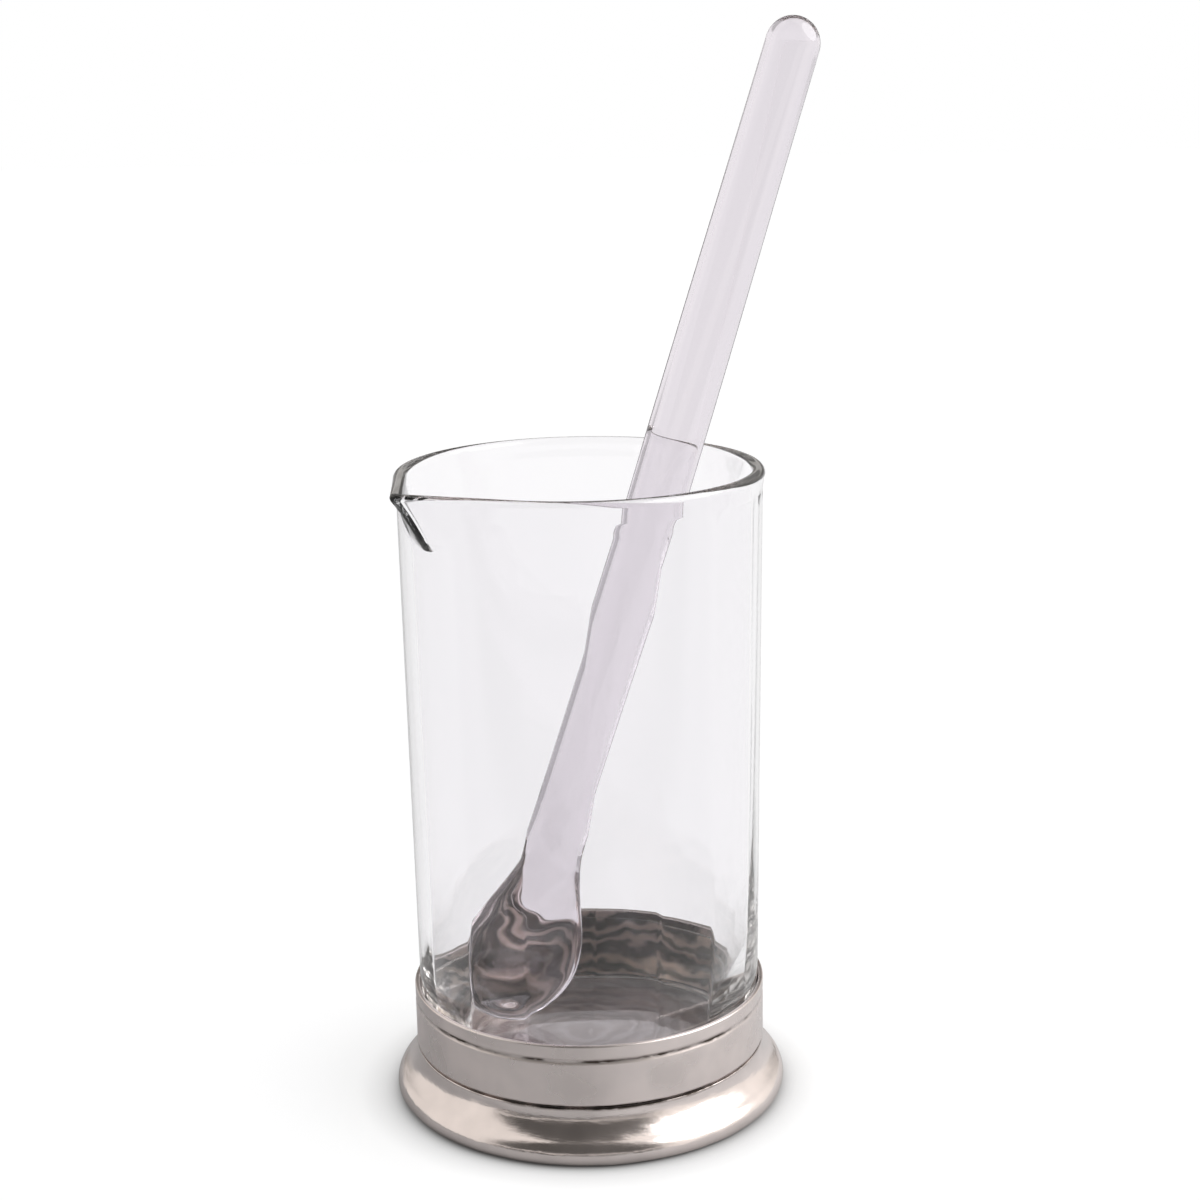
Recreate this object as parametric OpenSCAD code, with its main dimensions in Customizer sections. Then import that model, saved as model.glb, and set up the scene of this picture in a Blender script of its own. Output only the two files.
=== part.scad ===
// Cocktail pitcher: a heavy glass vessel with a pouring beak, bedded in a turned pewter
// collar on a flared foot, with a solid glass stirrer leaning inside it.
// Millimetres. The origin is the centre of the face that the foot stands on, +Z is up,
// and -Y is the front.

/* [Glass vessel] */
// Outside radius of the glass just under its rim
vessel_r = 50.4; // [46:0.1:60]
// Height of the glass, from its underside to the top of its rim
vessel_h = 173.6; // [140:0.1:210]
// How much smaller the outside radius is at the underside than under the rim
vessel_taper = 1.8; // [0.4:0.1:3]
// Thickness of the wall just under the rim
wall_t = 3.4; // [2.4:0.1:5]
// Thickness of the wall where its heavy lower part begins
mid_wall_t = 4.2; // [3.6:0.1:5]
// Thickness of the heavy lower wall at the inside floor
sham_wall_t = 8.8; // [6:0.1:12]
// Thickness of the glass under the inside floor
sham_floor_t = 5.8; // [4:0.1:16]
// Height of the heavy lower wall above the inside floor
sham_h = 38; // [20:1:80]
// Radius of the corner between the inside floor and the wall
floor_corner_r = 2; // [1:0.1:5]
// Radius of the heel round the underside
heel_r = 3; // [1:0.1:5]

/* [Rim] */
// Thickness of the fire-polished bead along the rim
rim_t = 3.8; // [2.8:0.1:6]
// How far the bead leans outwards from the middle of the wall
rim_flare = 0.4; // [0:0.1:1]
// Height over which the wall swells into the bead
rim_swell_h = 4; // [2:0.1:8]

/* [Panels inside the vessel] */
// Number of flat panels moulded round the inside wall
panel_count = 16; // [8:1:24]
// Depth of glass that a panel adds at its middle, at the inside floor
panel_depth = 0.7; // [0.2:0.05:0.8]
// Depth that a panel keeps in the upper part of the vessel
panel_top_depth = 0.12; // [0.02:0.02:0.4]
// Height above the inside floor at which the panels have their upper depth
panel_h = 91; // [60:1:130]

/* [Pouring beak] */
// How far the tip of the beak stands out past the rim
beak_reach = 10.3; // [5:0.1:14]
// Height of the beak, from the lower end of its crease to the top of the rim
beak_h = 16.6; // [10:0.1:24]
// Direction of the beak, in degrees anticlockwise from +X
beak_a = 216; // [180:1:260]

/* [Pewter collar] */
// Thickness of the collar's wall
collar_t = 1.4; // [1:0.1:2]
// Thickness of the collar's floor
collar_floor_t = 1.6; // [1:0.1:3]
// Height of the collar's upper edge above the table
collar_top = 33; // [28:0.1:45]
// Height of the plain ring between the upper groove and the upper edge
collar_ring_h = 4.5; // [3:0.1:6]
// Depth of the two turned grooves
groove_depth = 0.5; // [0.2:0.1:0.6]
// Width of the two turned grooves
groove_w = 1.2; // [0.6:0.1:1.6]
// Rounding of the collar's upper edge
collar_edge_r = 0.5; // [0.2:0.1:0.6]

/* [Pewter foot] */
// How far the foot flares out past the collar
foot_flare = 6; // [4:0.1:12]
// Height of the foot, up to the lower groove
foot_h = 14.6; // [13:0.1:20]
// Height of the foot's largest radius, which is also the rounding down to the table
foot_edge_r = 2.6; // [1.5:0.1:3.5]
// Radius of the upper side of the foot's rounded edge
foot_ovolo_r = 5; // [3:0.1:6]
// Thickness of the upper edge of the foot, outside the collar's spigot
foot_lip_t = 0.5; // [0.4:0.1:0.8]
// Height of the ledge that the collar stands on
ledge_z = 6; // [5:0.1:8]
// Thickness of that ledge
ledge_t = 1.6; // [1:0.1:2.5]
// Width of that ledge
ledge_w = 4.7; // [3:0.1:8]
// Width of the face that stands on the table
stand_w = 3; // [2:0.1:4]

/* [Bedding cement] */
// Thickness of the clear cement between the glass and the collar's wall, at the underside
cement_gap = 0.4; // [0.3:0.05:0.8]
// Thickness of the cement under the glass
bed_t = 0.8; // [0.4:0.1:2]
// How far the cement stops below the collar's upper edge
cement_drop = 2.5; // [1:0.1:6]

/* [Glass stirrer] */
// Length of the stirrer, from the tip of its paddle to the end of its handle
stirrer_l = 304; // [250:1:340]
// Width of the handle at its widest place
handle_w = 17.1; // [12:0.1:20]
// Width of the handle where its rounded end begins
handle_end_w = 15.8; // [11:0.1:20]
// Distance from the handle's end to its widest place
handle_wide_l = 125; // [60:1:150]
// Thickness of the handle
handle_t = 10.5; // [8:0.1:13]
// Length of the handle's rounded end
handle_end_l = 8; // [5:0.1:12]
// Width of the neck between the handle and the paddle
neck_w = 16.2; // [10:0.1:18]
// Thickness of the neck
neck_t = 9.6; // [7:0.1:12]
// Width of the paddle
paddle_w = 32.6; // [24:0.1:36]
// Thickness of the paddle
paddle_t = 12; // [8:0.1:14]
// Length of the paddle, from its tip to the neck
paddle_l = 58; // [45:0.1:70]
// Distance from the paddle's tip to its widest place
paddle_wide_s = 23; // [16:0.1:28]
// Direction in which the stirrer leans on the rim, in degrees anticlockwise from +X
lean_a = 48.2; // [30:0.1:60]
// Direction in which the paddle stands off the middle, in degrees anticlockwise from +X
rest_a = 163; // [150:1:215]
// Direction that the broad side faces, in degrees anticlockwise from +X
face_a = 270; // [250:1:290]
// Free space between the paddle's edge and the inside wall
paddle_gap = 5.5; // [0.8:0.1:8]
// Running gap left between the stirrer and the glass that it rests on
rest_gap = 0.3; // [0.2:0.05:0.5]

/* [Hidden] */

glass_colour = [0.88, 0.90, 0.92, 0.35];
stirrer_colour = [0.86, 0.84, 0.89, 0.45];
pewter_colour = [0.66, 0.63, 0.61];
cement_colour = [0.80, 0.79, 0.76, 0.4];

// Counts that set how finely the curved shapes are drawn
around = 64;
section_sides = 28;
arc_steps = 6;
wall_rows = 6;
beak_rows = 6;
sham_rows = 10;
settle_steps = 6;
$fn = 96;

// Heights that stack up from the table
vessel_z = ledge_z + collar_floor_t + bed_t;
floor_z = vessel_z + sham_floor_t;
rim_z = vessel_z + vessel_h;
rim_round_z = rim_z - rim_t / 2;
swell_z = rim_round_z - rim_swell_h;
sham_z = floor_z + sham_h;
beak_z = rim_z - beak_h;
collar_floor_z = ledge_z + collar_floor_t;
groove_z = collar_top - collar_ring_h;
cement_top = collar_top - cement_drop;

// Radii that fit one piece into the next
vessel_base_r = vessel_r - vessel_taper;
socket_r = vessel_base_r + cement_gap;
collar_r = socket_r + collar_t;
spigot_r = collar_r - collar_t / 2;
foot_r = collar_r + foot_flare;
rim_mid_r = vessel_r - wall_t / 2 + rim_flare;
rim_inside_r = rim_mid_r - rim_t / 2;
handle_wide_s = stirrer_l - handle_wide_l;

function clamped(x) = max(0, min(1, x));
function eased(x) = let (t = clamped(x)) t * t * (3 - 2 * t);
function unit(v) = v / norm(v);
function polar(r, a) = [r * cos(a), r * sin(a)];
function arc(centre, r, from, to) =
    [for (k = [0:arc_steps]) centre + polar(r, from + (to - from) * k / arc_steps)];
function spread(from, to, count, first = 0) =
    [for (k = [first:count]) from + (to - from) * k / count];

// Outside and inside radius of the vessel's plain wall at height z. The wall thins in a curve up
// the heavy lower part, and from there it thins evenly and slightly up to the swelling under the rim.
function outside_r(z) = vessel_base_r + vessel_taper * (z - vessel_z) / vessel_h;
function inside_r(z) =
    let (upper = clamped((swell_z - z) / (swell_z - sham_z)), lower = clamped((sham_z - z) / sham_h))
    outside_r(z) - wall_t - (mid_wall_t - wall_t) * upper - (sham_wall_t - mid_wall_t) * lower * lower;

// Outline of the heel, from the underside up to the outside wall
heel_mid = [outside_r(vessel_z + heel_r) - heel_r, vessel_z + heel_r];
heel = arc(heel_mid, heel_r, -90, 0);
// Outline of the outside wall, with closer rows where the beak is drawn out of it
outside = [
    for (z = spread(heel_mid[1], beak_z, wall_rows, 1)) [outside_r(z), z],
    for (z = spread(beak_z, swell_z, beak_rows, 1)) [outside_r(z), z]
];
// Outline of the bead, over the rim from the outside to the inside
bead = arc([rim_mid_r, rim_round_z], rim_t / 2, 0, 180);
// Outline of the inside wall down to the rounded corner, and of the corner itself
corner_mid = [inside_r(floor_z + floor_corner_r) - floor_corner_r, floor_z + floor_corner_r];
inside = [
    for (z = spread(swell_z, beak_z, beak_rows)) [inside_r(z), z],
    for (z = spread(beak_z, sham_z, 2 * wall_rows, 1)) [inside_r(z), z],
    for (k = [1:sham_rows - 1])
        let (z = sham_z + (corner_mid[1] - sham_z) * k / sham_rows)
        [inside_r(z), z]
];
corner = arc(corner_mid, floor_corner_r, 0, -90);

// Share of a panel's depth at direction a: nothing at its edges, all of it at its middle.
// The beak is drawn out above the middle of a panel.
function panel_share(a) =
    let (turned = (a - beak_a) * panel_count / 360, off = turned - round(turned))
    1 - pow(2 * off, 2);
function panel_in(z, a) =
    let (low = 1 - eased((z - floor_z) / panel_h), under_rim = clamped((swell_z - z) / rim_swell_h))
    (panel_top_depth + (panel_depth - panel_top_depth) * low) * panel_share(a) * eased(under_rim);

// Two flat flanks run from the round wall, as tangents of it, to the beak's crease
function beaked(r, z, a) =
    let (flank = acos(r / (r + beak_reach * clamped((z - beak_z) / beak_h))),
         turn = abs((a - beak_a + 540) % 360 - 180))
    turn < flank ? r / cos(flank - turn) : r;

// One closed loop of the vessel's skin for each point of its outline
directions = [for (k = [0:around - 1]) beak_a + 360 * k / around];
function loop_at(p, inside_share) = [
    for (a = directions)
        let (r = beaked(p[0] - inside_share * panel_in(p[1], a), p[1], a))
        [r * cos(a), r * sin(a), p[1]]
];
vessel_loops = [
    for (p = concat(heel, outside, bead)) loop_at(p, 0),
    for (p = concat(inside, corner)) loop_at(p, 1)
];

// Closed skin over a row of loops, with a point at each end
module skin(loops, first, last) {
    sides = len(loops[0]);
    rows = len(loops);
    points = [first, for (loop = loops) each loop, last];
    function at(row, side) = 1 + row * sides + side % sides;
    polyhedron(points, [
        for (k = [0:sides - 1]) [0, at(0, k), at(0, k + 1)],
        for (row = [0:rows - 2], k = [0:sides - 1])
            each [[at(row, k), at(row + 1, k), at(row + 1, k + 1)],
                  [at(row, k), at(row + 1, k + 1), at(row, k + 1)]],
        for (k = [0:sides - 1]) [len(points) - 1, at(rows - 1, k + 1), at(rows - 1, k)]
    ], convexity = 8);
}

// Blown vessel with its thick bottom, inside panels, beak and fire-polished rim
module glass_vessel()
    color(glass_colour)
        skin(vessel_loops, [0, 0, vessel_z], [0, 0, floor_z]);

// Turned pewter cup: its spigot stands in the foot and its wall holds the glass
module collar_cup() {
    groove_r = collar_r - groove_depth;
    band_z = foot_h + groove_w;
    outline = concat(
        [[0, ledge_z], [spigot_r, ledge_z], [spigot_r, foot_h]],
        [[groove_r, foot_h], [groove_r, band_z - groove_depth], [collar_r, band_z]],
        [[collar_r, groove_z - groove_w / 2], [groove_r, groove_z - groove_w / 4]],
        [[groove_r, groove_z + groove_w / 4], [collar_r, groove_z + groove_w / 2]],
        arc([collar_r - collar_edge_r, collar_top - collar_edge_r], collar_edge_r, 0, 90),
        arc([socket_r + collar_edge_r, collar_top - collar_edge_r], collar_edge_r, 90, 180),
        [[socket_r, collar_floor_z], [0, collar_floor_z]]
    );
    color(pewter_colour)
        rotate_extrude()
            polygon(outline);
}

// Cast pewter foot: a hollow ogee ring, with a ledge inside that carries the collar
module foot_ring() {
    lip_r = spigot_r + foot_lip_t;
    flare = foot_r - lip_r;
    rise = foot_h - foot_edge_r;
    bend = 2 * atan(flare / rise);
    cove_r = rise / sin(bend) - foot_ovolo_r;
    stand_r = foot_r - foot_edge_r;
    outline = concat(
        arc([stand_r, foot_edge_r], foot_edge_r, -90, 0),
        arc([foot_r - foot_ovolo_r, foot_edge_r], foot_ovolo_r, 0, bend),
        arc([lip_r + cove_r, foot_h], cove_r, 180 + bend, 180),
        [[spigot_r, foot_h], [spigot_r, ledge_z], [spigot_r - ledge_w, ledge_z]],
        [[spigot_r - ledge_w, ledge_z - ledge_t], [spigot_r, ledge_z - ledge_t]],
        [[stand_r - stand_w, 0]]
    );
    color(pewter_colour)
        rotate_extrude()
            polygon(outline);
}

// Clear cement that beds the glass: a disc under it and a thin sleeve round its heel
module cement_bed() {
    outline = concat(
        [[0, collar_floor_z], [socket_r, collar_floor_z], [socket_r, cement_top]],
        [[outside_r(cement_top), cement_top]],
        [for (k = [arc_steps:-1:0]) heel[k]],
        [[0, vessel_z]]
    );
    color(cement_colour)
        rotate_extrude()
            polygon(outline);
}

// Half of the stirrer's width and thickness at distance s from its tip
function rounded(s, l) = sqrt(max(0, 1 - pow(1 - clamped(s / l), 2)));
function blade(s, wide, neck, handle, end) =
    s < paddle_wide_s ? wide * rounded(s, paddle_wide_s) / 2
    : s < paddle_l ? (wide + (neck - wide) * eased((s - paddle_wide_s) / (paddle_l - paddle_wide_s))) / 2
    : (neck + (handle - neck) * eased((s - paddle_l) / (handle_wide_s - paddle_l))
       + (end - handle) * eased((s - handle_wide_s) / handle_wide_l))
      * rounded(stirrer_l - s, handle_end_l) / 2;
function half_w(s) = blade(s, paddle_w, neck_w, handle_w, handle_end_w);
function half_t(s) = blade(s, paddle_t, neck_t, handle_t, handle_t);

// Distances from the tip at which the skin has a loop, close together at the rounded ends
stations = [
    for (k = [1:arc_steps]) paddle_wide_s * (1 - cos(90 * k / arc_steps)),
    for (s = spread(paddle_wide_s, paddle_l, 2 * arc_steps, 1)) s,
    for (s = spread(paddle_l, stirrer_l - handle_end_l, 3 * arc_steps, 1)) s,
    for (k = [1:arc_steps - 1]) stirrer_l - handle_end_l * (1 - sin(90 * k / arc_steps))
];

// Axes of the stirrer's section: its thickness runs along thin_way, its width along wide_way
function thin_way(way) = let (v = [cos(face_a), sin(face_a), 0]) unit(v - (v * way) * way);
function wide_way(way) = cross(thin_way(way), way);

// How far the paddle reaches below the middle of its widest place
function low_reach(way) = min([
    for (s = stations) if (s < paddle_l)
        way[2] * (s - paddle_wide_s)
        - norm([half_w(s) * wide_way(way)[2], half_t(s) * thin_way(way)[2]])
]);
// Distance from the vessel's axis, in direction u, at which a point that is off by v keeps
// within the radius free
function reach_to(free, v, u) = sqrt(free * free - v * v + pow(v * u, 2)) - v * u;
// How far from the vessel's axis the handle's middle can be with its side on the rim
function rim_place(way) =
    let (across = wide_way(way), deep = thin_way(way),
         level_across = across - way * across[2] / way[2],
         level_deep = deep - way * deep[2] / way[2],
         free = rim_inside_r - rest_gap)
    min([
        for (k = [0:section_sides - 1])
            let (t = 360 * k / section_sides,
                 side = handle_w / 2 * cos(t) * level_across + handle_t / 2 * sin(t) * level_deep)
            reach_to(free, side, [cos(lean_a), sin(lean_a), 0])
    ]);
// How far from the axis the paddle's widest place, at height z, keeps its gap to the wall
function wall_place(way, z) = min([
    for (s = stations, k = [0:section_sides - 1]) if (s < paddle_l)
        let (t = 360 * k / section_sides,
             v = (s - paddle_wide_s) * way + half_w(s) * cos(t) * wide_way(way)
                 + half_t(s) * sin(t) * thin_way(way),
             free = wall_reach(z + v[2]) - panel_depth - paddle_gap)
        reach_to(free, [v[0], v[1], 0], [cos(rest_a), sin(rest_a), 0])
]);
// Inside radius at height z, with the rounded corner round the floor
function wall_reach(z) =
    z > corner_mid[1] ? inside_r(z)
    : corner_mid[0] + sqrt(max(0, pow(floor_corner_r, 2) - pow(corner_mid[1] - z, 2)));

// The paddle keeps its gap to the inside wall, the tip stands on the inside floor and the
// handle lies on the rim: the lean that does all three is found in a few steps
function wide_place(place) = concat(polar(place[1], rest_a), [place[0]]);
function lean(place) = unit(concat(polar(place[2], lean_a), [rim_round_z]) - wide_place(place));
function settled(steps, place) =
    steps == 0 ? place
    : let (way = lean(place), z = floor_z + rest_gap - low_reach(way))
      settled(steps - 1, [z, wall_place(way, z), rim_place(way)]);
settling = settled(settle_steps, [floor_z + paddle_wide_s, rim_inside_r / 3, rim_inside_r - handle_t]);
stirrer_way = lean(settling);
stirrer_tip = wide_place(settling) - paddle_wide_s * stirrer_way;

// Solid glass stirrer: an oval handle that is drawn out into a thick, rounded paddle
module stirrer() {
    across = wide_way(stirrer_way);
    deep = thin_way(stirrer_way);
    loops = [
        for (s = stations)
            [for (k = [0:section_sides - 1])
                let (t = 360 * k / section_sides)
                stirrer_tip + s * stirrer_way
                + half_w(s) * cos(t) * across + half_t(s) * sin(t) * deep]
    ];
    color(stirrer_colour)
        skin(loops, stirrer_tip, stirrer_tip + stirrer_l * stirrer_way);
}

glass_vessel();
collar_cup();
foot_ring();
cement_bed();
stirrer();
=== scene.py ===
from math import atan, cos, pi, radians, sin, sqrt

import bpy
import numpy as np
from mathutils import Matrix, Vector


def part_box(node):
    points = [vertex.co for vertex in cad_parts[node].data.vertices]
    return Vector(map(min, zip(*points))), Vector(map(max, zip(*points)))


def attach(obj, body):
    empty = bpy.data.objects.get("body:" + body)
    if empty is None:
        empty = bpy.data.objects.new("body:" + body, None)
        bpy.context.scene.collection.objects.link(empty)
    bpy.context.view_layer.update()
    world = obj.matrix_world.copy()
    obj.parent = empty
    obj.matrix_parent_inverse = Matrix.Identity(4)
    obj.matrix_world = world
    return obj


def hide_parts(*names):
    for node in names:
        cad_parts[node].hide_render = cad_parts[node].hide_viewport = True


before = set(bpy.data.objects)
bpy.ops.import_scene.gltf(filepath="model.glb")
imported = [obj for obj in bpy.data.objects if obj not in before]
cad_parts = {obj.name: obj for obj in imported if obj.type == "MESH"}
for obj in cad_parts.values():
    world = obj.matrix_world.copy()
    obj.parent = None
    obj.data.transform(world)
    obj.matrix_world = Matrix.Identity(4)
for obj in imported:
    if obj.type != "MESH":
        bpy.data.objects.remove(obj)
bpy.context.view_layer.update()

# Pewter foot: a hollow ogee ring, cast and then turned and buffed on a lathe.
# Its worn polish mirrors the room in soft, uneven patches, and grime stays under its upper edge.
# It carries the collar on a ledge inside and is soldered to it.
MM = 0.001


def size_of(node_name):
    """Largest radius, lowest and highest point of a round CAD node, in millimetres."""
    low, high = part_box(node_name)
    return high.x / MM, low.z / MM, high.z / MM


def arc(centre, r, start, stop, steps=10):
    """Points of a round stretch of an outline, from one direction in degrees to another."""
    turns = np.radians(np.linspace(start, stop, steps + 1))
    return [(centre[0] + r * cos(t), centre[1] + r * sin(t)) for t in turns]


def add(tree, kind, inputs=(), **settings):
    """A node in a tree. The inputs are pairs of a socket and its value or the output it reads."""
    made = tree.nodes.new(kind)
    for name, value in settings.items():
        setattr(made, name, value)
    for key, value in dict(inputs).items():
        if isinstance(value, bpy.types.NodeSocket):
            tree.links.new(value, made.inputs[key])
        else:
            made.inputs[key].default_value = value
    return made


def calc(tree, operation, *terms):
    """The output of a Math node on these terms."""
    return add(tree, "ShaderNodeMath", enumerate(terms), operation=operation).outputs[0]


def scaled(tree, vector, factor):
    """A vector or colour times a number."""
    return add(tree, "ShaderNodeVectorMath", {0: vector, "Scale": factor}, operation="SCALE").outputs[0]


def noise(tree, scale, detail, vector=None):
    """The value of a Noise texture on a vector, or on the place itself."""
    inputs = {"Scale": scale, "Detail": detail}
    if vector is not None:
        inputs["Vector"] = vector
    return add(tree, "ShaderNodeTexNoise", inputs).outputs[0]


def ramp(tree, value, start, stop, low=0.0, high=1.0, smooth=True):
    """A soft or a straight ramp from one level to another, between two values."""
    return add(tree, "ShaderNodeMapRange", {
        "Value": value, "From Min": start, "From Max": stop, "To Min": low, "To Max": high},
        interpolation_type="SMOOTHSTEP" if smooth else "LINEAR").outputs[0]


def blend(tree, share, first, second, data_type="RGBA"):
    """The output of a Mix node between two colours, or with FLOAT between two numbers."""
    slot, other, output = {"RGBA": (6, 7, 2), "FLOAT": (2, 3, 0)}[data_type]
    mixed = add(tree, "ShaderNodeMix", {0: share, slot: first, other: second}, data_type=data_type)
    return mixed.outputs[output]


def from_axis(tree, split):
    """How far a place, given as its split X, Y and Z, lies from the Z axis."""
    squares = (calc(tree, "POWER", split[axis], 2.0) for axis in "XY")
    return calc(tree, "SQRT", calc(tree, "ADD", *squares))


def new_group(name, kind, inputs, outputs):
    """An empty node group with named inputs and outputs, and its two end nodes."""
    tree = bpy.data.node_groups.new(name, kind)
    for socket_name, socket_type, value in inputs:
        made = tree.interface.new_socket(socket_name, in_out="INPUT", socket_type=socket_type)
        if value is not None:
            made.default_value = value
    for socket_name, socket_type in outputs:
        tree.interface.new_socket(socket_name, in_out="OUTPUT", socket_type=socket_type)
    return tree, tree.nodes.new("NodeGroupInput").outputs, tree.nodes.new("NodeGroupOutput").inputs


def turning_tree():
    """Turns an outline, whose points hold radius and height, about the Z axis."""
    tree, given, result = new_group(
        "turn_outline", "GeometryNodeTree",
        [("Outline", "NodeSocketGeometry", None), ("Segments", "NodeSocketInt", 96)],
        [("Geometry", "NodeSocketGeometry"), ("Turn", "NodeSocketFloat"), ("Row", "NodeSocketInt")])
    outline_size = add(tree, "GeometryNodeAttributeDomainSize", {"Geometry": given["Outline"]})
    rows = outline_size.outputs["Point Count"]
    grid = add(tree, "GeometryNodeMeshGrid", {
        "Vertices X": calc(tree, "ADD", given["Segments"], 1), "Vertices Y": rows})
    index = add(tree, "GeometryNodeInputIndex").outputs[0]
    row = calc(tree, "MODULO", index, rows)
    column = calc(tree, "FLOOR", calc(tree, "DIVIDE", calc(tree, "ADD", index, 0.5), rows))
    turn = calc(tree, "MULTIPLY", calc(tree, "DIVIDE", column, given["Segments"]), 2 * pi)
    place = add(tree, "GeometryNodeSampleIndex", {
        "Geometry": given["Outline"], "Value": add(tree, "GeometryNodeInputPosition").outputs[0],
        "Index": row}, data_type="FLOAT_VECTOR")
    point = add(tree, "ShaderNodeSeparateXYZ", {0: place.outputs[0]}).outputs
    moved = add(tree, "GeometryNodeSetPosition", {
        "Geometry": grid.outputs["Mesh"],
        "Position": add(tree, "ShaderNodeCombineXYZ", {
            "X": calc(tree, "MULTIPLY", point["X"], calc(tree, "COSINE", turn)),
            "Y": calc(tree, "MULTIPLY", point["X"], calc(tree, "SINE", turn)),
            "Z": point["Z"]}).outputs[0]})
    tree.links.new(moved.outputs[0], result["Geometry"])
    tree.links.new(turn, result["Turn"])
    tree.links.new(row, result["Row"])
    return tree


turn_outline = turning_tree()


weld_gap = 0.002


def finish_tree(tree, geometry, material, result):
    """Closes the seam and the poles, and ends the tree in Realize Instances and Set Material."""
    closed = add(tree, "GeometryNodeMergeByDistance", {"Geometry": geometry, "Distance": weld_gap * MM})
    smooth = add(tree, "GeometryNodeSetShadeSmooth", {"Geometry": closed.outputs[0]})
    real = add(tree, "GeometryNodeRealizeInstances", {"Geometry": smooth.outputs[0]})
    dressed = add(tree, "GeometryNodeSetMaterial", {"Geometry": real.outputs[0], "Material": material})
    tree.links.new(dressed.outputs[0], result["Geometry"])


def lathe_tree():
    """A plain turned piece: the turned outline, with the small swells that hand work leaves."""
    tree, given, result = new_group(
        "lathe_piece", "GeometryNodeTree",
        [("Outline", "NodeSocketGeometry", None), ("Segments", "NodeSocketInt", 96),
         ("Hand Work", "NodeSocketFloat", 0.0), ("Material", "NodeSocketMaterial", None)],
        [("Geometry", "NodeSocketGeometry")])
    turned = add(tree, "GeometryNodeGroup", node_tree=turn_outline)
    tree.links.new(given["Outline"], turned.inputs["Outline"])
    tree.links.new(given["Segments"], turned.inputs["Segments"])
    level = 0.62  # above the noise's middle of 0.5, so most of the swells go inwards
    swell = calc(tree, "SUBTRACT", noise(tree, scale=70.0, detail=1.0), level)
    way = scaled(tree, add(tree, "GeometryNodeInputNormal").outputs[0],
                 calc(tree, "MULTIPLY", swell, given["Hand Work"]))
    worked = add(tree, "GeometryNodeSetPosition", {"Geometry": turned.outputs[0], "Offset": way})
    finish_tree(tree, worked.outputs[0], given["Material"], result)
    return tree


lathe_piece = lathe_tree()


def grown(name, tree, outline, inputs, marks=None):
    """A plain mesh object that a Geometry Nodes tree makes from an outline in millimetres."""
    mesh = bpy.data.meshes.new(name)
    edges = [(k, k + 1) for k in range(len(outline) - 1)]
    mesh.from_pydata([(r * MM, 0, z * MM) for r, z in outline], edges, [])
    for mark, values in (marks or {}).items():
        mesh.attributes.new(mark, "FLOAT", "POINT").data.foreach_set("value", values)
    piece = bpy.data.objects.new(name, mesh)
    bpy.context.scene.collection.objects.link(piece)
    modifier = piece.modifiers.new("grow", "NODES")
    modifier.node_group = tree
    for socket in tree.interface.items_tree:
        if socket.in_out == "INPUT" and socket.name in inputs:
            modifier[socket.identifier] = inputs[socket.name]
    bpy.context.view_layer.update()
    evaluated = piece.evaluated_get(bpy.context.evaluated_depsgraph_get())
    piece_mesh = bpy.data.meshes.new_from_object(evaluated)
    piece.modifiers.remove(modifier)
    piece.data = piece_mesh
    bpy.data.meshes.remove(mesh)
    piece_mesh.name = name
    return piece


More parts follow.
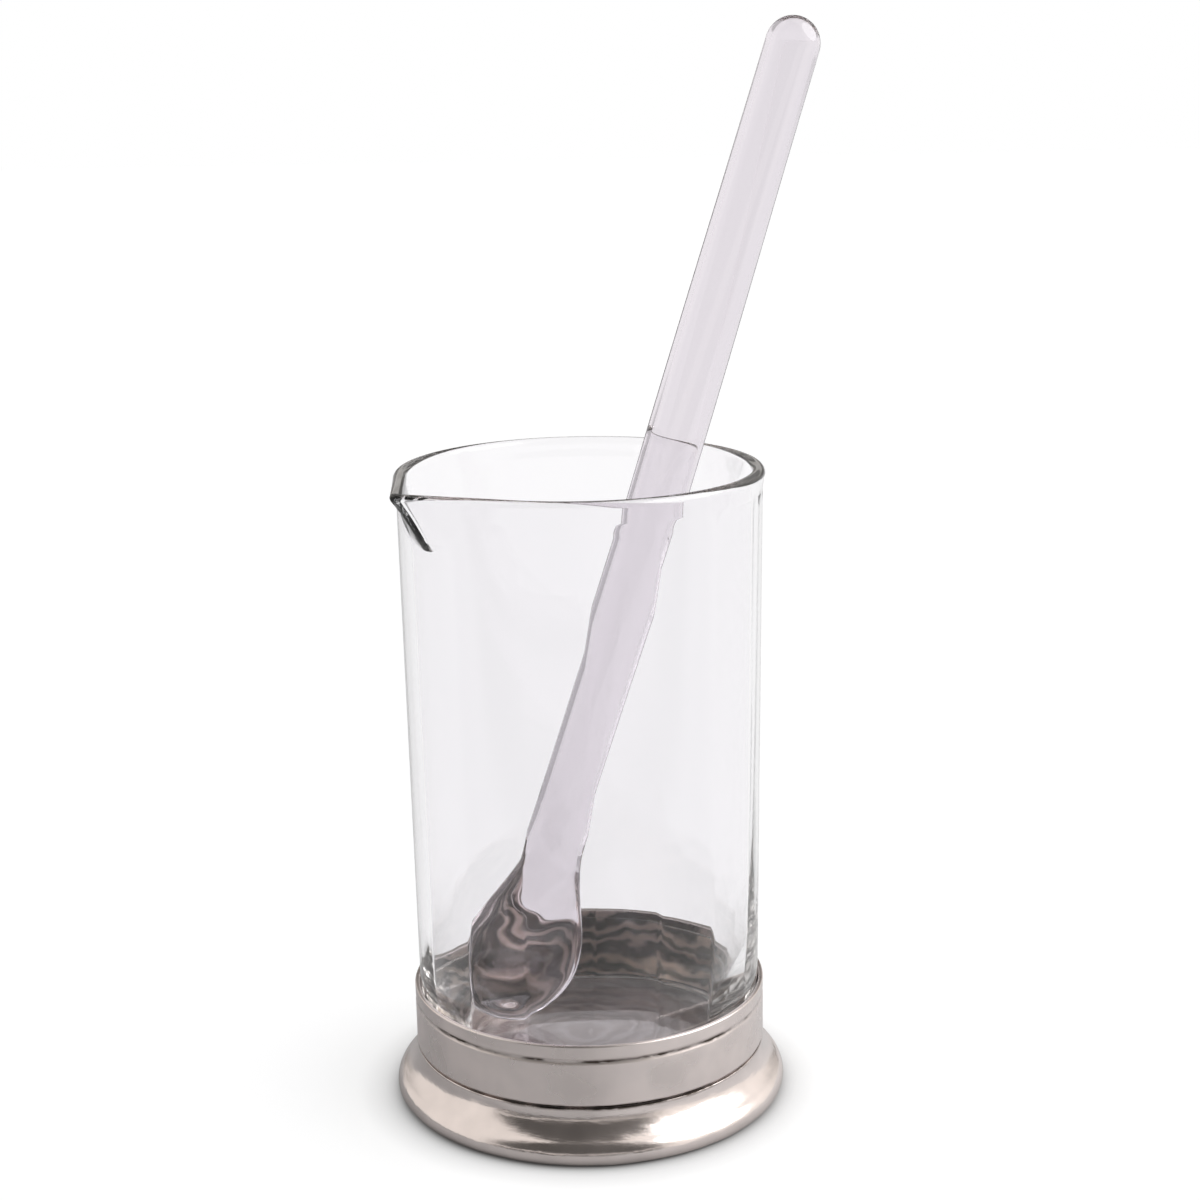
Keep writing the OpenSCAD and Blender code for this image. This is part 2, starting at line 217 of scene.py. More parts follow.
def pewter_group():
    """Worn pewter: turning lines, buffing clouds, small dents, and grime along up to two grooves.
    Inside a given radius, where no cloth reaches, it is the bare casting with wavy rings, whose colour is
    painted light: painted shade on the wall, painted light on the flat floor, and painted reflections in
    the rings' light and dark bands."""
    tree, given, result = new_group(
        "worn_pewter", "ShaderNodeTree",
        [("Metal", "NodeSocketColor", (0.6, 0.57, 0.55, 1)),
         ("Grime", "NodeSocketColor", (0.1, 0.08, 0.07, 1)),
         ("Wall Dark", "NodeSocketColor", (0.1, 0.08, 0.07, 1)),
         ("Wall Light", "NodeSocketColor", (0.8, 0.7, 0.7, 1)),
         ("Floor Dark", "NodeSocketColor", (0.6, 0.5, 0.5, 1)),
         ("Floor Light", "NodeSocketColor", (0.9, 0.8, 0.8, 1)),
         ("Inside Radius", "NodeSocketFloat", 0.0), ("Inside Floor", "NodeSocketFloat", 0.0),
         ("Polish", "NodeSocketFloat", 0.25), ("Turning", "NodeSocketFloat", 1.0),
         ("Dents", "NodeSocketFloat", 1.0), ("Groove 1", "NodeSocketFloat", 0.0),
         ("Groove 2", "NodeSocketFloat", 0.0), ("Groove Width", "NodeSocketFloat", 0.001)],
        [("Color", "NodeSocketColor"), ("Roughness", "NodeSocketFloat"), ("Height", "NodeSocketFloat")])
    place = add(tree, "ShaderNodeTexCoord").outputs["Object"]
    split = add(tree, "ShaderNodeSeparateXYZ", {0: place}).outputs
    radius = from_axis(tree, split)
    across = add(tree, "ShaderNodeCombineXYZ", {"X": radius, "Y": split["Z"]}).outputs[0]
    turn = calc(tree, "ARCTAN2", split["Y"], split["X"])
    drawn = add(tree, "ShaderNodeCombineXYZ", {
        "X": calc(tree, "MULTIPLY", turn, calc(tree, "MULTIPLY", radius, 0.3)),
        "Y": radius, "Z": split["Z"]}).outputs[0]
    lines = noise(tree, scale=3200.0, detail=4.0, vector=across)
    clouds = noise(tree, scale=55.0, detail=3.0, vector=place)
    dents = noise(tree, scale=240.0, detail=4.0, vector=drawn)
    specks = noise(tree, scale=900.0, detail=2.0, vector=drawn)
    wander = calc(tree, "MULTIPLY", calc(tree, "SUBTRACT", dents, 0.5), given["Groove Width"])
    height = calc(tree, "ADD", split["Z"], wander)

    def near(level):
        """Falls from 1 at a groove's height to 0 one width away from it."""
        off = calc(tree, "ABSOLUTE", calc(tree, "SUBTRACT", height, level))
        return calc(tree, "SUBTRACT", 1.0, calc(tree, "DIVIDE", off, given["Groove Width"]))

    close = calc(tree, "MAXIMUM", near(given["Groove 1"]), near(given["Groove 2"]))
    spots = ramp(tree, specks, 0.2, 0.5, smooth=False)
    patches = ramp(tree, clouds, 0.42, 0.6, 0.15, 1.3)
    grime = add(tree, "ShaderNodeClamp", {
        0: calc(tree, "MULTIPLY", calc(tree, "MULTIPLY", close, spots), patches)}).outputs[0]
    metal = scaled(tree, given["Metal"], ramp(tree, clouds, 0.3, 0.7, 0.9, 1.06))
    soiled = blend(tree, grime, metal, given["Grime"])
    waved = add(tree, "ShaderNodeVectorMath", {
        0: across, 1: scaled(tree, (0.012, 0.012, 0.0), clouds)}, operation="ADD").outputs[0]
    rings = add(tree, "ShaderNodeTexWave", {
        "Vector": waved, "Scale": 110.0, "Distortion": 4.0, "Detail": 3.0, "Detail Scale": 1.5},
        bands_direction="DIAGONAL").outputs["Fac"]
    # Painted light inside the cup: the flat floor takes the lit colours, the wall the shaded ones, and
    # the rings paint light and dark reflection bands.
    lies_flat = calc(tree, "LESS_THAN", split["Z"], given["Inside Floor"])
    casting_light_and_shade = blend(tree, ramp(tree, rings, 0.2, 0.9, smooth=False),
                 blend(tree, lies_flat, given["Wall Dark"], given["Floor Dark"]),
                 blend(tree, lies_flat, given["Wall Light"], given["Floor Light"]))
    within = calc(tree, "LESS_THAN", radius, given["Inside Radius"])
    tree.links.new(blend(tree, within, soiled, casting_light_and_shade), result["Color"])
    hazy = calc(tree, "MULTIPLY", given["Polish"], ramp(tree, clouds, 0.35, 0.7, 0.8, 1.35))
    rough = calc(tree, "ADD", hazy, calc(tree, "MULTIPLY", grime, 0.25))
    cast_rough = blend(tree, lies_flat, 0.3, 0.4, "FLOAT")
    tree.links.new(blend(tree, within, rough, cast_rough, "FLOAT"), result["Roughness"])
    ridges = calc(tree, "MULTIPLY", calc(tree, "MULTIPLY", rings, within), 35.0)
    turned = calc(tree, "ADD", calc(tree, "MULTIPLY", lines, given["Turning"]), ridges)
    beaten = calc(tree, "ADD", calc(tree, "MULTIPLY", dents, 8.0), specks)
    relief = calc(tree, "ADD", turned, calc(tree, "MULTIPLY", beaten, given["Dents"]))
    tree.links.new(relief, result["Height"])
    return tree


worn_pewter = pewter_group()


def new_material(name):
    """A material with its tree, Principled BSDF and output node."""
    made = bpy.data.materials.new(name)
    made.use_nodes = True
    nodes = made.node_tree.nodes
    return made, made.node_tree, nodes["Principled BSDF"], nodes["Material Output"]


def pewter(name, polish, turning, dents, grooves, inside_r=0.0, inside_floor=0.0):
    """Pewter with its own polish, and with grime along the heights of its grooves."""
    made, tree, surface, _ = new_material(name)
    worn = add(tree, "ShaderNodeGroup", node_tree=worn_pewter)
    for key, value in {
            "Metal": (0.8, 0.722, 0.698, 1), "Grime": (0.07, 0.055, 0.045, 1),
            # the Wall and Floor colours are painted light: painted shade on the cup's wall, painted light
            # on its floor, and painted reflections in the rings
            "Wall Dark": (0.055, 0.036, 0.025, 1), "Wall Light": (0.88, 0.77, 0.7, 1),
            "Floor Dark": (0.78, 0.69, 0.7, 1), "Floor Light": (1.0, 0.93, 0.96, 1),
            "Inside Radius": inside_r * MM, "Inside Floor": inside_floor * MM,
            "Polish": polish, "Turning": turning, "Dents": dents,
            "Groove 1": grooves[0] * MM, "Groove 2": grooves[-1] * MM,
            "Groove Width": grime_w * MM}.items():
        worn.inputs[key].default_value = value
    surface.inputs["Metallic"].default_value = 1.0
    bump = add(tree, "ShaderNodeBump", {
        "Height": worn.outputs["Height"], "Distance": line_depth * MM, "Strength": 1.0})
    tree.links.new(worn.outputs["Color"], surface.inputs["Base Color"])
    tree.links.new(worn.outputs["Roughness"], surface.inputs["Roughness"])
    tree.links.new(bump.outputs[0], surface.inputs["Normal"])
    return made


foot_r, _, foot_h = size_of("foot_ring")
collar_r, ledge_z, collar_top = size_of("collar_cup")
collar_t = 1.4
spigot_r = collar_r - collar_t / 2
foot_lip_t = 0.5
lip_r = spigot_r + foot_lip_t
foot_edge_r, foot_ovolo_r = 2.6, 5
ledge_t, ledge_w = 1.6, 4.7
stand_r, stand_w = foot_r - foot_edge_r, 3
solder_gap = 0.04
grime_w, line_depth = 0.8, 0.004
around, round_steps, cove_steps = 288, 14, 24
rise = foot_h - foot_edge_r
bend = 2 * atan((foot_r - lip_r) / rise)
cove_r = rise / sin(bend) - foot_ovolo_r
bend_deg = bend * 180 / pi
foot_outline = (
    arc((stand_r, foot_edge_r), foot_edge_r, -90, 0, round_steps)
    + arc((foot_r - foot_ovolo_r, foot_edge_r), foot_ovolo_r, 0, bend_deg, round_steps)[1:]
    + arc((lip_r + cove_r, foot_h), cove_r, 180 + bend_deg, 180, cove_steps)[1:]
    + [(spigot_r + solder_gap, foot_h), (spigot_r + solder_gap, ledge_z + solder_gap),
       (spigot_r - ledge_w, ledge_z - solder_gap), (spigot_r - ledge_w, ledge_z - ledge_t),
       (spigot_r, ledge_z - ledge_t), (stand_r - stand_w, 0), (stand_r, 0)])
foot = grown("pewter_foot", lathe_piece, foot_outline, {
    "Segments": around, "Hand Work": 0.3 * MM,
    "Material": pewter("foot_pewter", polish=0.17, turning=0.5, dents=6.0, grooves=[foot_h])})
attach(foot, "pitcher")
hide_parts("foot_ring")

# Pewter collar: a cup turned from one casting, with a plain band between two cut grooves.
# Its outside has a soft brushed sheen, its inside is the bare casting coloured with painted shade,
# painted light and painted reflections, and both grooves hold grime.
# Its spigot is soldered into the foot and its wall holds the glass.
socket_r = collar_r - collar_t
collar_floor_t, cup_corner_r = 1.6, 1
collar_floor_z = ledge_z + collar_floor_t
groove_depth, groove_soft, groove_w = 0.5, 0.3, 1.2
groove_r = collar_r - groove_depth
collar_ring_h = 4.5
groove_z = collar_top - collar_ring_h
band_z = foot_h + groove_w
band_edge_r, collar_edge_r = 0.25, 0.5
near_edge = 0.1  # rows lie this far or a few times as far from an edge, to keep its shading tight
skin_gap = 0.05
cup_floor_h = 0.3
collar_outline = (
    [(0, ledge_z), (spigot_r, ledge_z), (spigot_r, foot_h), (groove_r, foot_h + solder_gap / 2)]
    + [(groove_r, band_z - groove_depth)]
    + arc((collar_r - band_edge_r, band_z - near_edge), band_edge_r, -60, 0, 4)
    + [(collar_r, z) for z in np.linspace(band_z + 4 * near_edge, groove_z - groove_w, 14)]
    + [(collar_r - groove_soft * (1 + cos(t)) / 2, groove_z + groove_w * t / pi)
       for t in np.linspace(-pi, pi, 17)[1:-1]]
    + [(collar_r, z) for z in np.linspace(
        groove_z + groove_w, collar_top - collar_edge_r - 2 * near_edge, 5)]
    + arc((collar_r - collar_edge_r, collar_top - collar_edge_r), collar_edge_r, 0, 90, 6)
    + arc((socket_r + collar_edge_r, collar_top - collar_edge_r), collar_edge_r, 90, 180, 6)
    + [(socket_r, z) for z in np.linspace(
        collar_top - 3 * collar_edge_r, collar_floor_z + cup_corner_r, 10)]
    + arc((socket_r - cup_corner_r, collar_floor_z + cup_corner_r), cup_corner_r, 0, -90, 5)
    + [(r, collar_floor_z) for r in np.linspace(socket_r - 3 * cup_corner_r, 0, 12)])
collar = grown("pewter_collar", lathe_piece, collar_outline, {
    "Segments": around, "Hand Work": 0.1 * MM,
    "Material": pewter(
        "collar_pewter", polish=0.3, turning=0.8, dents=0.8, grooves=[foot_h + groove_w / 2, groove_z],
        inside_r=socket_r + skin_gap, inside_floor=collar_floor_z + cup_floor_h)})
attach(collar, "pitcher")
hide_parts("collar_cup")

# Clear bedding cement: poured into the collar, it sets round the heel of the glass.
# It fills the thin room under and beside the glass and holds it in place.
# Its free upper edge shows as a fine line inside the collar.
vessel_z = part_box("glass_vessel")[0].z / MM
heel_r, heel_steps, cement_gap = 3, 12, 0.4
vessel_base_r = socket_r - cement_gap
ripple_h, press_scale = 0.02, 60.0


def clear_material(name, colour, ripple_scale, stretch, press=0.0, press_z=0.0):
    """Clear glass with the faint waves of hand work, which lets the lamp's light through.
    Below a height it may bear the stronger waves of a press."""
    made, tree, surface, output = new_material(name)
    surface.inputs["Base Color"].default_value = (*colour, 1)
    surface.inputs["Roughness"].default_value = 0.0
    surface.inputs["IOR"].default_value = 1.5
    surface.inputs["Transmission Weight"].default_value = 1.0
    place = add(tree, "ShaderNodeTexCoord").outputs["Object"]
    drawn = add(tree, "ShaderNodeMapping", {"Vector": place, "Scale": (1, 1, stretch)}).outputs[0]
    relief = calc(tree, "MULTIPLY", noise(tree, ripple_scale, 1.0, drawn), ripple_h)
    if press:
        height = add(tree, "ShaderNodeSeparateXYZ", {0: place}).outputs["Z"]
        pressed = ramp(tree, height, 0.8 * press_z * MM, press_z * MM, press, 0.0, smooth=False)
        marks = noise(tree, press_scale, 1.0, place)
        relief = calc(tree, "ADD", relief, calc(tree, "MULTIPLY", marks, pressed))
    bump = add(tree, "ShaderNodeBump", {"Height": relief, "Distance": MM, "Strength": 1.0})
    tree.links.new(bump.outputs[0], surface.inputs["Normal"])
    through = tree.nodes.new("ShaderNodeBsdfTransparent")
    through.inputs[0].default_value = (*(0.5 + 0.5 * c for c in colour), 1)
    mix = add(tree, "ShaderNodeMixShader", {
        0: add(tree, "ShaderNodeLightPath").outputs["Is Shadow Ray"],
        1: surface.outputs[0], 2: through.outputs[0]})
    tree.links.new(mix.outputs[0], output.inputs["Surface"])
    return made


cement_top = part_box("cement_bed")[1].z / MM
bed_r = vessel_base_r + skin_gap
bed_edge_r = vessel_base_r - heel_r
disc_rows, sleeve_rows = 8, 20  # close rows, so that smooth shading doesn't bend what shows through
cement_outline = (
    [(r, collar_floor_z + skin_gap)
     for r in np.linspace(0, socket_r - cup_corner_r - 2 * near_edge, disc_rows)]
    + arc((socket_r - cup_corner_r, collar_floor_z + cup_corner_r), cup_corner_r - skin_gap, -90, 0, 8)
    + [(socket_r - skin_gap, z) for z in np.linspace(
        collar_floor_z + cup_corner_r + 2 * near_edge, cement_top - near_edge, sleeve_rows)]
    + [(socket_r - skin_gap - near_edge / 2, cement_top), (bed_r + near_edge / 2, cement_top)]
    + [(bed_r, z) for z in np.linspace(
        cement_top - near_edge, vessel_z + heel_r + 2 * near_edge, sleeve_rows)]
    + arc((bed_edge_r, vessel_z + heel_r), heel_r + skin_gap, 0, -90, heel_steps)
    + [(r, vessel_z - skin_gap) for r in np.linspace(bed_edge_r - 2 * near_edge, 0, disc_rows)])
cement = grown("bedding_cement", lathe_piece, cement_outline, {
    "Segments": around // 2, "Hand Work": 0.0,
    "Material": clear_material("cement_clear", (0.86, 0.85, 0.82), ripple_scale=90.0, stretch=1.0)})
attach(cement, "pitcher")
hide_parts("cement_bed")

# Glass vessel: blown into a mould that leaves sixteen flat panels on its inside wall.
# Its bottom is thick and heavy, its rim is fire-polished to a bead, and its beak is pulled
# out of the hot rim with a tool, which leaves one sharp crease below the tip.
rim_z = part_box("glass_vessel")[1].z / MM
wall_t, mid_wall_t, sham_wall_t, sham_h = 3.4, 4.2, 8.8, 38
vessel_taper = 1.8
sham_floor_t = 5.8
floor_z = vessel_z + sham_floor_t
floor_corner_r = 2
rim_t, rim_flare, rim_swell_h = 3.8, 0.4, 4
beak_reach, beak_h, beak_a = 10.3, 16.6, 216
wall_rows, beak_rows, low_rows, floor_rows = 24, 22, 62, 8
panel_count, panel_depth, panel_top_depth, panel_h = 16, 0.28, 0.12, 91
cavity_off, centred_z = 1.0, 70  # low down, the cavity stands off the centre of the outside


def outside_r(z):
    """Outside radius of the plain wall at a height."""
    return vessel_base_r + vessel_taper * (z - vessel_z) / (rim_z - vessel_z)


rim_round_z = rim_z - rim_t / 2
rim_mid_r = outside_r(rim_z) - wall_t / 2 + rim_flare
swell_z = rim_round_z - rim_swell_h
sham_z = floor_z + sham_h


def inside_r(z):
    """Inside radius of the plain wall: it thins in a curve up the heavy lower part, then slightly."""
    upper = min(1, max(0, (swell_z - z) / (swell_z - sham_z)))
    lower = min(1, max(0, (sham_z - z) / sham_h))
    return outside_r(z) - wall_t - (mid_wall_t - wall_t) * upper - (sham_wall_t - mid_wall_t) * lower ** 2


beak_z = rim_z - beak_h
heel_mid = (outside_r(vessel_z + heel_r) - heel_r, vessel_z + heel_r)
corner_mid = (inside_r(floor_z + floor_corner_r) - floor_corner_r, floor_z + floor_corner_r)
outside = [(outside_r(z), z) for z in np.linspace(heel_mid[1], beak_z, wall_rows)[1:]]
outside += [(outside_r(z), z) for z in np.linspace(beak_z, swell_z, beak_rows)[1:]]
bead = arc((rim_mid_r, rim_round_z), rim_t / 2, 0, 180, 24)
inside = [(inside_r(z), z) for z in np.linspace(swell_z, beak_z, beak_rows)]
inside += [(inside_r(z), z) for z in np.linspace(beak_z, corner_mid[1], low_rows)[1:-1]]
inside += arc(corner_mid, floor_corner_r, 0, -90, 14)
inside += [(r, floor_z) for r in np.linspace(corner_mid[0], 0, floor_rows)[1:]]
skin = [(r, vessel_z) for r in np.linspace(0, heel_mid[0] - 2 * near_edge, disc_rows)]
skin += arc(heel_mid, heel_r, -90, 0, heel_steps) + outside + bead
panelled = [0.0] * len(skin) + [1.0] * len(inside)


def vessel_tree():
    """The turned vessel, with panels pressed into its inside wall and a beak drawn out of its rim."""
    tree, given, result = new_group(
        "moulded_vessel", "GeometryNodeTree",
        [("Outline", "NodeSocketGeometry", None), ("Segments", "NodeSocketInt", 288),
         ("Panels", "NodeSocketInt", 16), ("Panel Depth", "NodeSocketFloat", 0.0),
         ("Panel Top Depth", "NodeSocketFloat", 0.0), ("Panel Foot", "NodeSocketFloat", 0.0),
         ("Panel Head", "NodeSocketFloat", 0.0), ("Swell Height", "NodeSocketFloat", 0.0),
         ("Swell Length", "NodeSocketFloat", 0.0), ("Off Centre", "NodeSocketFloat", 0.0),
         ("Centred From", "NodeSocketFloat", 0.0), ("Beak Reach", "NodeSocketFloat", 0.0),
         ("Beak Foot", "NodeSocketFloat", 0.0), ("Beak Length", "NodeSocketFloat", 0.0),
         ("Beak Direction", "NodeSocketFloat", 0.0), ("Material", "NodeSocketMaterial", None)],
        [("Geometry", "NodeSocketGeometry")])
    turned = add(tree, "GeometryNodeGroup", node_tree=turn_outline)
    tree.links.new(given["Outline"], turned.inputs["Outline"])
    tree.links.new(given["Segments"], turned.inputs["Segments"])
    mark = add(tree, "GeometryNodeSampleIndex", {
        "Geometry": given["Outline"],
        "Value": add(tree, "GeometryNodeInputNamedAttribute", {"Name": "panelled"}).outputs[0],
        "Index": turned.outputs["Row"]}, data_type="FLOAT").outputs[0]
    split = add(tree, "ShaderNodeSeparateXYZ", {
        0: add(tree, "GeometryNodeInputPosition").outputs[0]}).outputs
    radius = from_axis(tree, split)
    turn = turned.outputs["Turn"]
    pitch = calc(tree, "MULTIPLY", calc(tree, "DIVIDE", turn, 2 * pi), given["Panels"])
    off = calc(tree, "SUBTRACT", pitch, calc(tree, "ROUND", pitch))
    edge_share = calc(tree, "MULTIPLY", calc(tree, "ABSOLUTE", off), 2.0)
    share = calc(tree, "SUBTRACT", 1.0, calc(tree, "POWER", edge_share, 2.0))
    depth = ramp(tree, split["Z"], given["Panel Foot"], given["Panel Head"],
                 given["Panel Depth"], given["Panel Top Depth"])
    swelled = calc(tree, "SUBTRACT", split["Z"], given["Swell Height"])
    fade = ramp(tree, calc(tree, "DIVIDE", swelled, given["Swell Length"]), -1.0, 0.0, 1.0, 0.0)
    pressed = calc(tree, "MULTIPLY", calc(tree, "MULTIPLY", share, depth), fade)
    inner = calc(tree, "SUBTRACT", radius, calc(tree, "MULTIPLY", pressed, mark))
    beak_rise = calc(tree, "SUBTRACT", split["Z"], given["Beak Foot"])
    drawn = add(tree, "ShaderNodeClamp", {
        0: calc(tree, "DIVIDE", beak_rise, given["Beak Length"])}).outputs[0]
    tip = calc(tree, "ADD", inner, calc(tree, "MULTIPLY", given["Beak Reach"], drawn))
    flank = calc(tree, "ARCCOSINE", calc(tree, "DIVIDE", inner, tip))
    aside = calc(tree, "MINIMUM", turn, calc(tree, "SUBTRACT", 2 * pi, turn))
    left = calc(tree, "MAXIMUM", calc(tree, "SUBTRACT", flank, aside), 0.0)
    beaked = calc(tree, "DIVIDE", inner, calc(tree, "COSINE", left))
    way = calc(tree, "ADD", turn, given["Beak Direction"])
    off_axis = calc(tree, "GREATER_THAN", radius, weld_gap / 2 * MM)
    final = calc(tree, "MULTIPLY", beaked, off_axis)
    shift = ramp(tree, split["Z"], given["Panel Foot"], given["Centred From"], given["Off Centre"], 0.0)
    shaped = add(tree, "GeometryNodeSetPosition", {
        "Geometry": turned.outputs["Geometry"],
        "Position": add(tree, "ShaderNodeCombineXYZ", {
            "X": calc(tree, "ADD", calc(tree, "MULTIPLY", final, calc(tree, "COSINE", way)),
                      calc(tree, "MULTIPLY", mark, shift)),
            "Y": calc(tree, "MULTIPLY", final, calc(tree, "SINE", way)),
            "Z": split["Z"]}).outputs[0]})
    finish_tree(tree, shaped.outputs[0], given["Material"], result)
    return tree


vessel = grown("glass_vessel_blown", vessel_tree(), skin + inside, {
    "Segments": around, "Panels": panel_count, "Panel Depth": panel_depth * MM,
    "Panel Top Depth": panel_top_depth * MM, "Panel Foot": floor_z * MM,
    "Panel Head": (floor_z + panel_h) * MM, "Swell Height": swell_z * MM,
    "Swell Length": rim_swell_h * MM, "Off Centre": -cavity_off * MM, "Centred From": centred_z * MM,
    "Beak Reach": beak_reach * MM, "Beak Foot": beak_z * MM,
    "Beak Length": beak_h * MM, "Beak Direction": radians(beak_a),
    "Material": clear_material(
        "vessel_glass_clear", (0.945, 0.937, 0.95), ripple_scale=30.0, stretch=0.35)},
    {"panelled": panelled})
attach(vessel, "pitcher")
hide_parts("glass_vessel")

# Glass stirrer: one solid rod of faintly lavender glass, drawn oval, with its lower end
# pressed into a thick, rounded paddle and its upper end fire-polished round.
# It stands loose on the inside floor and leans on the rim.
handle_w, handle_end_w, handle_wide_l, handle_t, handle_end_l = 17.1, 15.8, 125, 10.5, 8
neck_w, neck_t = 16.2, 9.6
paddle_w, paddle_t, paddle_l, paddle_wide_s = 32.6, 12, 58, 23
section_sides, paddle_rows, handle_rows = 144, 60, 160


def far_ends(points):
    """The two points of a long piece that lie farthest apart, the lower one first."""
    a = points[0]
    for _ in range(4):
        b = points[np.argmax(((points - a) ** 2).sum(1))]
        a = points[np.argmax(((points - b) ** 2).sum(1))]
    return (a, b) if a[2] < b[2] else (b, a)


rod_points = np.array([v.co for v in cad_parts["stirrer"].data.vertices]) / MM
rod_tip, rod_end = far_ends(rod_points)
rod_l = float(np.linalg.norm(rod_end - rod_tip))
handle_wide_s = rod_l - handle_wide_l
rod_way = (rod_end - rod_tip) / rod_l
rod_deep = np.array([0.0, -1.0, 0.0]) - rod_way * -rod_way[1]
rod_deep /= np.linalg.norm(rod_deep)
rod_across = np.cross(rod_deep, rod_way)


def rounded(s, length):
    """Share of the full width at a distance from a round end."""
    return sqrt(max(0, 1 - (1 - min(1, max(0, s / length))) ** 2))


def eased(x):
    """A soft step from 0 to 1."""
    t = min(1, max(0, x))
    return t * t * (3 - 2 * t)


def blade(s, wide, neck, handle, end):
    """Half of the stirrer's width or thickness at a distance from its tip."""
    if s < paddle_wide_s:
        return wide * rounded(s, paddle_wide_s) / 2
    if s < paddle_l:
        return (wide + (neck - wide) * eased((s - paddle_wide_s) / (paddle_l - paddle_wide_s))) / 2
    full = neck + (handle - neck) * eased((s - paddle_l) / (handle_wide_s - paddle_l))
    full += (end - handle) * eased((s - handle_wide_s) / handle_wide_l)
    return full * rounded(rod_l - s, handle_end_l) / 2


def skinned(name, loops, first, last, material):
    """A closed smooth mesh over a row of loops, with a point at each end."""
    sides = len(loops[0])
    points = [first, *(p for loop in loops for p in loop), last]
    end = len(points) - 1

    def at(row, side):
        """The number of a point in a loop, round past its end."""
        return 1 + row * sides + side % sides

    faces = [(0, at(0, k + 1), at(0, k)) for k in range(sides)]
    faces += [(at(row, k), at(row, k + 1), at(row + 1, k + 1), at(row + 1, k))
              for row in range(len(loops) - 1) for k in range(sides)]
    faces += [(end, at(len(loops) - 1, k), at(len(loops) - 1, k + 1)) for k in range(sides)]
    mesh = bpy.data.meshes.new(name)
    mesh.from_pydata([tuple(float(v) * MM for v in p) for p in points], [], faces)
    mesh.shade_smooth()
    mesh.materials.append(material)
    made = bpy.data.objects.new(name, mesh)
    bpy.context.scene.collection.objects.link(made)
    return made


quarter = np.linspace(0, pi / 2, 25)[1:]
stations = [paddle_wide_s * (1 - cos(t)) for t in quarter]
stations += list(np.linspace(paddle_wide_s, paddle_l, paddle_rows)[1:])
stations += list(np.linspace(paddle_l, rod_l - handle_end_l, handle_rows)[1:])
stations += [rod_l - handle_end_l * (1 - sin(t)) for t in quarter[:-1]]
ring = np.linspace(0, 2 * pi, section_sides, endpoint=False)
rod_loops = [
    [rod_tip + s * rod_way + blade(s, paddle_w, neck_w, handle_w, handle_end_w) * cos(t) * rod_across
     + blade(s, paddle_t, neck_t, handle_t, handle_t) * sin(t) * rod_deep for t in ring]
    for s in stations]
stirrer = skinned("glass_stirrer", rod_loops, rod_tip, rod_end,
                  clear_material("stirrer_glass_clear", (0.795, 0.752, 0.795), ripple_scale=40.0,
                                 stretch=0.3, press=2.2, press_z=80))
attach(stirrer, "stirrer")
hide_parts("stirrer")

# Studio: a white floor that keeps the soft shadow, a white surround that the glass shows, and a
# dark ceiling and camera side, which draw the dark lines in the rim, the beak and the pewter.
# One broad lamp stands high at the right.
floor_size, floor_drop = 12000, 0.05
shade_colour, floor_glow, contact_reach = (0.4, 0.4, 0.4), 0.78, 12
left_x, middle_x, right_x = (-100, -60), (2, 34), (50, 100)  # stretches where the floor's tone changes
near_y, front_y = (-80, 0), (-400, -250)
left_drop, middle_low, middle_high, right_gain = 0.07, 0.24, 0.38, 0.13
shaded_level, contact_depth = 0.4, 1.6


def ray_kinds(tree):
    """Masks: rays of the camera, rays that come through glass, and rays mirrored off a surface."""
    path = add(tree, "ShaderNodeLightPath").outputs
    mirrored = calc(tree, "MULTIPLY", path["Is Glossy Ray"],
                    calc(tree, "SUBTRACT", 1.0, path["Is Transmission Ray"]))
    return path["Is Camera Ray"], path["Is Transmission Ray"], mirrored


def floor_material():
    """Pale paper: its own glow makes it white to the eye, and its lit part keeps the shadow.
    Pewter mirrors it darker, most of all on the left, and through glass the stretch in front of
    the foot is darker, both as painted shade; a painted contact shadow darkens it near the foot."""
    made, tree, surface, output = new_material("floor_paper")
    tree.nodes.remove(surface)
    camera_ray, through_glass, mirrored = ray_kinds(tree)
    place = add(tree, "ShaderNodeSeparateXYZ", {
        0: add(tree, "ShaderNodeTexCoord").outputs["Object"]}).outputs

    def along(axis, span, low, high):
        """A soft ramp between two places on the floor, in millimetres."""
        return ramp(tree, place[axis], span[0] * MM, span[1] * MM, low, high)

    # Painted shade and light: the glow that pewter mirrors is darker to the left and lighter to the
    # right, and through glass a stretch in front of the foot is darker.
    painted_tone = calc(tree, "ADD", along("X", middle_x, middle_low, middle_high),
                along("X", right_x, 0.0, right_gain))
    painted_tone = calc(tree, "SUBTRACT", painted_tone, along("X", left_x, left_drop, 0.0))
    shaded = calc(tree, "MAXIMUM", along("Y", near_y, shaded_level, 1.0),
                  along("Y", front_y, 1.0, shaded_level))
    seen = calc(tree, "MAXIMUM", camera_ray, calc(tree, "MULTIPLY", through_glass, shaded))
    glow = calc(tree, "ADD", calc(tree, "MULTIPLY", mirrored, painted_tone),
                calc(tree, "MULTIPLY", floor_glow, seen))
    # Painted contact shadow: ambient occlusion darkens the glow near the foot.
    open_sky = add(tree, "ShaderNodeAmbientOcclusion", {"Distance": contact_reach * MM}).outputs["AO"]
    glow = calc(tree, "MULTIPLY", glow, calc(tree, "POWER", open_sky, contact_depth))
    lit = add(tree, "ShaderNodeBsdfDiffuse", {"Color": (*shade_colour, 1)})
    both = add(tree, "ShaderNodeAddShader", {
        0: lit.outputs[0], 1: add(tree, "ShaderNodeEmission", {"Strength": glow}).outputs[0]})
    tree.links.new(both.outputs[0], output.inputs["Surface"])
    return made


